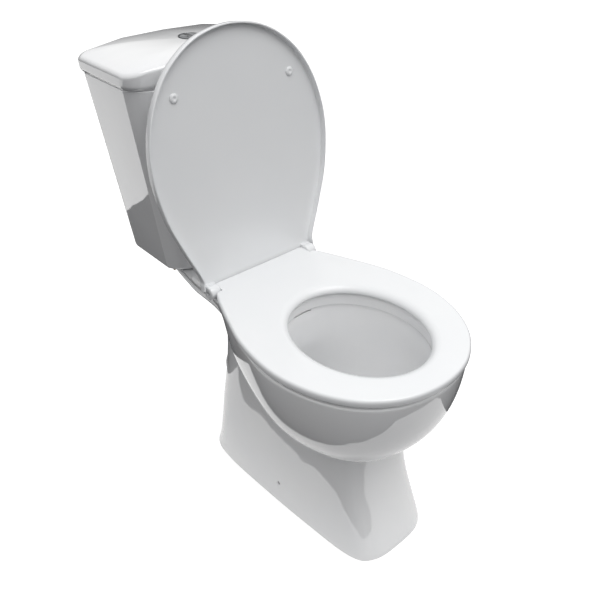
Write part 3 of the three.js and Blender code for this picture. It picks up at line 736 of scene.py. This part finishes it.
def button_bezel():
    inner, outer = BUTTON_RADIUS + 0.0004, BUTTON_RADIUS + 0.0022
    low, high = LID_EDGE_TOP, BUTTON_TOP - 0.0006
    middle, half_width = (inner + outer) / 2, (outer - inner) / 2
    bead = []
    for step in range(7):
        angle = step / 6 * math.pi
        bead.append((middle + half_width * math.cos(angle), high + 0.0006 * math.sin(angle)))
    return smooth(turned("button_bezel", [(outer, low), *bead, (inner, low)], 0, BUTTON_Y))


def button_half(name, side):
    """One side of the split button, with its push rod."""
    split = -0.005
    body = soft_disc(name, BUTTON_RADIUS, BUTTON_TOP - BUTTON_DEPTH, BUTTON_TOP, 0.0014, 0, BUTTON_Y)
    reach = BUTTON_RADIUS + 0.001
    low, high = BUTTON_Y - reach, BUTTON_Y + reach
    near = (split + GAP, reach) if side > 0 else (-reach, split - GAP)
    half = block("half", (near[0], low, 0), (near[1], high, 0.9))
    combine(body, [half], "INTERSECT")
    dimple_x, rod_x = (0.007, 0.007) if side > 0 else (-0.0115, -0.011)
    dimple = turned("dimple", [
        (0, BUTTON_TOP - 0.0009), (0.003, BUTTON_TOP - 0.0007),
        (0.006, BUTTON_TOP + 0.0004), (0, BUTTON_TOP + 0.002),
    ], dimple_x, BUTTON_Y)
    combine(body, [dimple], "DIFFERENCE")
    rod_radius, rod_top = 0.003, BUTTON_TOP - BUTTON_DEPTH + 0.002
    rod = disc("rod", rod_radius, BUTTON_TOP - ROD_LENGTH, rod_top, rod_x, BUTTON_Y, 32)
    return smooth(combine(body, [rod], "UNION"))


def cover_pad(side):
    inside_z = SEAT_TOP + 0.0036
    pad = turned("cover_pad", [
        (0, SEAT_TOP + 0.0014), (0.0016, SEAT_TOP + 0.0013), (0.0026, SEAT_TOP + 0.0005),
        (0.0044, SEAT_TOP + GAP), (0.0062, SEAT_TOP + 0.001),
        (0.0074, SEAT_TOP + 0.0019), (0.008, inside_z - 0.0008), (0.008, inside_z - GAP), (0, inside_z - GAP),
    ], side * COVER_PAD_X, y_at(COVER_PAD_PLACE))
    return smooth(open_cover(pad), 50)


def seat_pad(x, y):
    return smooth(soft_disc("seat_pad", 0.008, PAN_TOP + GAP, SEAT_BOTTOM - GAP, 0.0012, x, y_at(y)))


# ---------- materials ----------
def principled(name, color, roughness, **sockets):
    material = bpy.data.materials.new(name)
    material.use_nodes = True
    shader = material.node_tree.nodes["Principled BSDF"]
    shader.inputs["Base Color"].default_value = (*color, 1)
    shader.inputs["Roughness"].default_value = roughness
    for socket, value in sockets.items():
        shader.inputs[socket.replace("_", " ")].default_value = value
    return material


def add_node(material, kind, **settings):
    node = material.node_tree.nodes.new(kind)
    for name, value in settings.items():
        if name in node.inputs.keys():
            node.inputs[name].default_value = value
        else:
            setattr(node, name, value)
    return node


def noise(material, scale, detail=2.0, stretch=(1, 1, 1)):
    """A noise value that is fixed to the piece; scale is in patches a metre."""
    place = add_node(material, "ShaderNodeTexCoord")
    mapping = add_node(material, "ShaderNodeMapping", Scale=stretch)
    pattern = add_node(material, "ShaderNodeTexNoise", Scale=scale, Detail=detail)
    material.node_tree.links.new(place.outputs["Object"], mapping.inputs["Vector"])
    material.node_tree.links.new(mapping.outputs["Vector"], pattern.inputs["Vector"])
    return pattern.outputs["Fac"]


def spread(material, value, low, high):
    """Maps the middle of a noise to a range."""
    node = add_node(material, "ShaderNodeMapRange")
    for name, number in (("From Min", 0.3), ("From Max", 0.7), ("To Min", low), ("To Max", high)):
        node.inputs[name].default_value = number
    material.node_tree.links.new(value, node.inputs["Value"])
    return node.outputs["Result"]


def blend(material, value, first, second):
    node = add_node(material, "ShaderNodeMix", data_type="RGBA")
    node.inputs["A"].default_value = (*first, 1)
    node.inputs["B"].default_value = (*second, 1)
    material.node_tree.links.new(value, node.inputs["Factor"])
    return node.outputs["Result"]


def color_from(material, output):
    shader = material.node_tree.nodes["Principled BSDF"]
    material.node_tree.links.new(output, shader.inputs["Base Color"])


def roughness_from(material, output):
    shader = material.node_tree.nodes["Principled BSDF"]
    material.node_tree.links.new(output, shader.inputs["Roughness"])


def bumps(material, *layers):
    """Stacks layers of height, each a value and its depth in metres."""
    normal = None
    for value, depth in layers:
        node = add_node(material, "ShaderNodeBump", Distance=depth)
        material.node_tree.links.new(value, node.inputs["Height"])
        if normal:
            material.node_tree.links.new(normal, node.inputs["Normal"])
        normal = node.outputs["Normal"]
    shader = material.node_tree.nodes["Principled BSDF"]
    material.node_tree.links.new(normal, shader.inputs["Normal"])
    if shader.inputs["Coat Weight"].default_value > 0:
        material.node_tree.links.new(normal, shader.inputs["Coat Normal"])


def glaze():
    """Thick white glaze: slow waves from pooling, faint tone changes, and a bare biscuit foot."""
    material = principled(
        "glazed_china", (0.86, 0.86, 0.86), 0.05,
        IOR=1.5, Coat_Weight=1.0, Coat_Roughness=0.02, Coat_IOR=1.75,
    )
    patches = spread(material, noise(material, 9, 3), 0, 1)
    tone = blend(material, patches, (0.845, 0.852, 0.864), (0.872, 0.874, 0.876))
    place = add_node(material, "ShaderNodeTexCoord")
    split = add_node(material, "ShaderNodeSeparateXYZ")
    foot = add_node(material, "ShaderNodeMapRange")
    bare_below, glazed_above = 0.0008, 0.0022
    for name, number in (("From Min", bare_below), ("From Max", glazed_above), ("To Min", 1), ("To Max", 0)):
        foot.inputs[name].default_value = number
    bare = add_node(material, "ShaderNodeMix", data_type="RGBA")
    bare.inputs["B"].default_value = (0.66, 0.63, 0.58, 1)
    links = material.node_tree.links
    links.new(place.outputs["Object"], split.inputs["Vector"])
    links.new(split.outputs["Z"], foot.inputs["Value"])
    links.new(foot.outputs["Result"], bare.inputs["Factor"])
    links.new(tone, bare.inputs["A"])
    color_from(material, bare.outputs["Result"])
    gloss = add_node(material, "ShaderNodeMath", operation="MULTIPLY_ADD")
    gloss.inputs[1].default_value = 0.6
    links.new(foot.outputs["Result"], gloss.inputs[0])
    links.new(spread(material, noise(material, 35, 3), 0.035, 0.075), gloss.inputs[2])
    roughness_from(material, gloss.outputs["Value"])
    bumps(
        material, (noise(material, 7, 1), 0.0016), (noise(material, 26, 1), 0.00022),
        (noise(material, 420, 2), 0.000006),
    )
    return material


def gloss_plastic():
    """Compression-moulded seat plastic: a smooth sheen with faint flow marks and fine scuffs."""
    material = principled(
        "seat_plastic", (0.84, 0.85, 0.86), 0.2,
        IOR=1.5, Coat_Weight=0.25, Coat_Roughness=0.12,
    )
    tone = spread(material, noise(material, 6, 4), 0, 1)
    color_from(material, blend(material, tone, (0.826, 0.838, 0.85), (0.846, 0.854, 0.862)))
    roughness_from(material, spread(material, noise(material, 60, 5, (1, 0.3, 1)), 0.16, 0.24))
    bumps(material, (noise(material, 12, 1), 0.0003), (noise(material, 900, 2), 0.000004))
    return material


def moulded(name, dark, light, roughness):
    """Injection-moulded plastic with a fine spark-eroded grain."""
    material = principled(name, dark, roughness)
    color_from(material, blend(material, spread(material, noise(material, 40, 4), 0, 1), dark, light))
    roughness_from(material, spread(material, noise(material, 160, 3), roughness - 0.06, roughness + 0.08))
    bumps(material, (noise(material, 1800, 2), 0.00002))
    return material


def metal(name, dark, light, roughness, brushing):
    """Metal with fine drawn lines; brushing is their depth in metres."""
    material = principled(name, dark, roughness, Metallic=1.0)
    lines = noise(material, 260, 4, (1, 1, 0.06))
    color_from(material, blend(material, spread(material, noise(material, 55, 4), 0, 1), dark, light))
    roughness_from(material, spread(material, lines, roughness * 0.7, roughness * 1.4))
    bumps(material, (lines, brushing))
    return material


def rubber():
    material = principled("black_rubber", (0.03, 0.03, 0.032), 0.7)
    bloom = spread(material, noise(material, 70, 5), 0, 1)
    color_from(material, blend(material, bloom, (0.022, 0.022, 0.024), (0.06, 0.06, 0.062)))
    roughness_from(material, spread(material, noise(material, 120, 4), 0.6, 0.85))
    bumps(material, (noise(material, 1100, 3), 0.00004))
    return material


# ---------- putting it together ----------
def show(piece, body, material, node):
    """Puts a fine piece in place of its CAD node."""
    piece.name = node + "_fine"
    piece.data.materials.clear()
    piece.data.materials.append(material)
    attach(piece, body)
    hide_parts(node)
    return piece


def dress(node, material):
    """Gives a carried-over CAD node softened edges and its material."""
    obj = bpy.data.objects[node]
    bevel = obj.modifiers.new("soft edges", "BEVEL")
    bevel.width = 0.0004
    bevel.segments = 2
    bevel.limit_method = "ANGLE"
    bevel.angle_limit = math.radians(40)
    obj.data.shade_smooth()
    obj.data.set_sharp_from_angle(angle=math.radians(34))
    obj.data.materials.clear()
    obj.data.materials.append(material)


china = glaze()
plastic = gloss_plastic()
chrome = metal("chrome", (0.26, 0.27, 0.28), (0.33, 0.34, 0.35), 0.12, 0.000002)
pad_plastic = moulded("pad_plastic", (0.8, 0.81, 0.82), (0.86, 0.87, 0.88), 0.35)

show(pan(), "toilet", china, "pan")
show(tank(), "toilet", china, "cistern_tank")
show(cistern_lid(), "toilet", china, "cistern_lid")
show(seat(), "seat_ring", plastic, "seat")
show(seat_cover(), "cover", plastic, "seat_cover")
show(button_bezel(), "toilet", chrome, "button_bezel")
show(button_half("full_flush", 1), "full_button", chrome, "full_flush_button")
show(button_half("half_flush", -1), "half_button", chrome, "half_flush_button")
for word, side in (("right", 1), ("left", -1)):
    show(cover_pad(side), "cover", pad_plastic, f"cover_pad_{word}")
    for end, place in (("rear", SEAT_PAD_REAR_PLACE), ("front", SEAT_PAD_FRONT_PLACE)):
        pad = seat_pad(side * SEAT_PAD_X, place)
        show(pad, "seat_ring", pad_plastic, f"seat_pad_{end}_{word}")

white_valve = moulded("valve_plastic", (0.74, 0.75, 0.74), (0.82, 0.83, 0.82), 0.42)
blue_valve = moulded("blue_plastic", (0.1, 0.24, 0.46), (0.15, 0.32, 0.56), 0.4)
steel = metal("brushed_steel", (0.55, 0.56, 0.57), (0.66, 0.67, 0.68), 0.28, 0.00001)
# Painted shade: the floor brackets and their screws get near-black steel so that the side screw holes read
# dark, standing in for the shade inside them
hole_shade_steel = metal("steel_painted_hole_shade", (0.05, 0.05, 0.052), (0.09, 0.09, 0.092), 0.45, 0.00001)
brass = metal("brass", (0.6, 0.44, 0.2), (0.74, 0.58, 0.32), 0.3, 0.000008)
black_rubber = rubber()
SIDES = ("right", "left")
for names, material in (
    (("flush_valve_body", "flush_valve_nut", "fill_valve_body", "fill_valve_nut"), white_valve),
    (("valve_lift_tube", "fill_valve_float", "fill_valve_cap"), blue_valve),
    (("valve_seal", "coupling_washer"), black_rubber),
    ([f"{part}_{side}" for part in ("cistern_bolt_washer", "hinge_sleeve") for side in SIDES], black_rubber),
    ([f"{part}_{side}" for part in ("cistern_bolt", "cistern_wing_nut") for side in SIDES], brass),
    ([
        f"{part}_{side}" for side in SIDES
        for part in ("cistern_bolt_plate", "hinge_post", "hinge_pin")
    ], steel),
    # near-black steel here paints the shade in the side screw holes
    ([f"{part}_{side}" for part in ("floor_bracket", "floor_bracket_screw") for side in SIDES], hole_shade_steel),
):
    for node in names:
        dress(node, material)


# ---------- stage, light, camera ----------
def sheet(name, corners, z, material):
    """A flat stage piece; its corners run anticlockwise seen from above."""
    piece = mesh_object(name, at_height(corners, z), [tuple(range(len(corners)))])
    piece.data.materials.append(material)
    return piece


def rectangle(x0, x1, y0, y1):
    return [(x0, y0), (x1, y0), (x1, y1), (x0, y1)]


def stage_floor():
    """A pale floor, and under it a white card of limited size that throws light back on the china."""
    size = 30
    pale = principled("pale_floor", (0.45, 0.45, 0.45), 0.9, Specular_IOR_Level=0.0)
    shader = pale.node_tree.nodes["Principled BSDF"]
    shader.inputs["Emission Color"].default_value = (1, 1, 1, 1)
    shader.inputs["Emission Strength"].default_value = 0.8
    floor = sheet("floor", rectangle(-size, size, -size, size), -0.0005, pale)
    floor.visible_diffuse = False
    floor.visible_glossy = False
    white = principled("white_card", (0.9, 0.9, 0.9), 0.9)
    card = sheet("bounce_card", rectangle(-0.27, 0.4, -0.6, 0.3), -0.001, white)
    card.visible_glossy = False
    card.visible_camera = False
    glow_card("near_glow", [(-0.22, 0.35), (-0.22, -0.36), (-0.06, -0.66), (0.35, -0.75), (0.35, 0.35)], 0.85)
    glow_card("far_glow", rectangle(-5.0, -0.15, 1.04, 6.0), 1.2)


def glow_card(name, corners, strength):
    """A bright sheet on the floor that shows only as a reflection in the glaze."""
    glow = principled(name, (0, 0, 0), 1.0, Specular_IOR_Level=0.0)
    shader = glow.node_tree.nodes["Principled BSDF"]
    shader.inputs["Emission Color"].default_value = (1, 1, 1, 1)
    shader.inputs["Emission Strength"].default_value = strength
    card = sheet(name, corners, -0.0008, glow)
    card.visible_camera = False
    card.visible_diffuse = False
    card.visible_shadow = False


def area_light(name, location, target, size, power):
    light = bpy.data.lights.new(name, "AREA")
    light.energy = power
    light.size = size
    obj = bpy.data.objects.new(name, light)
    obj.location = location
    direction = Vector(target) - Vector(location)
    obj.rotation_euler = direction.to_track_quat("-Z", "Y").to_euler()
    bpy.context.scene.collection.objects.link(obj)


def camera():
    azimuth, elevation, roll = (math.radians(a) for a in (-42.9, 34.0, 1.4))
    level = math.cos(elevation)
    back = Vector((math.sin(azimuth) * level, -math.cos(azimuth) * level, math.sin(elevation)))
    right = (-back).cross(Vector((0, 0, 1))).normalized()
    up = back.cross(right)
    right, up = (
        right * math.cos(roll) + up * math.sin(roll), up * math.cos(roll) - right * math.sin(roll),
    )
    place = Vector((-0.7022, -0.7838, 1.0917))
    data = bpy.data.cameras.new("camera")
    data.lens = 42.3
    data.clip_start = 0.01
    obj = bpy.data.objects.new("camera", data)
    obj.matrix_world = Matrix((right, up, back)).transposed().to_4x4()
    obj.matrix_world.translation = place
    bpy.context.scene.collection.objects.link(obj)
    bpy.context.scene.camera = obj


def world():
    """A studio that is bright overhead and dark towards the walls."""
    studio = bpy.data.worlds.new("studio")
    studio.use_nodes = True
    nodes, links = studio.node_tree.nodes, studio.node_tree.links
    place = nodes.new("ShaderNodeTexCoord")
    split = nodes.new("ShaderNodeSeparateXYZ")
    ramp = nodes.new("ShaderNodeValToRGB")
    ramp.color_ramp.interpolation = "EASE"
    ramp.color_ramp.elements[0].position = 0.05
    ramp.color_ramp.elements[0].color = (0.07, 0.07, 0.074, 1)
    ramp.color_ramp.elements[1].position = 0.45
    ramp.color_ramp.elements[1].color = (0.9, 0.9, 0.9, 1)
    links.new(place.outputs["Generated"], split.inputs["Vector"])
    links.new(split.outputs["Z"], ramp.inputs["Fac"])
    links.new(ramp.outputs["Color"], nodes["Background"].inputs["Color"])
    nodes["Background"].inputs["Strength"].default_value = 1.0
    bpy.context.scene.world = studio


bpy.context.scene.view_settings.view_transform = "Standard"
stage_floor()
world()
area_light("overhead", (0.3, -1.0, 3.0), (0, 0, 0.3), 1.8, 26)
camera()
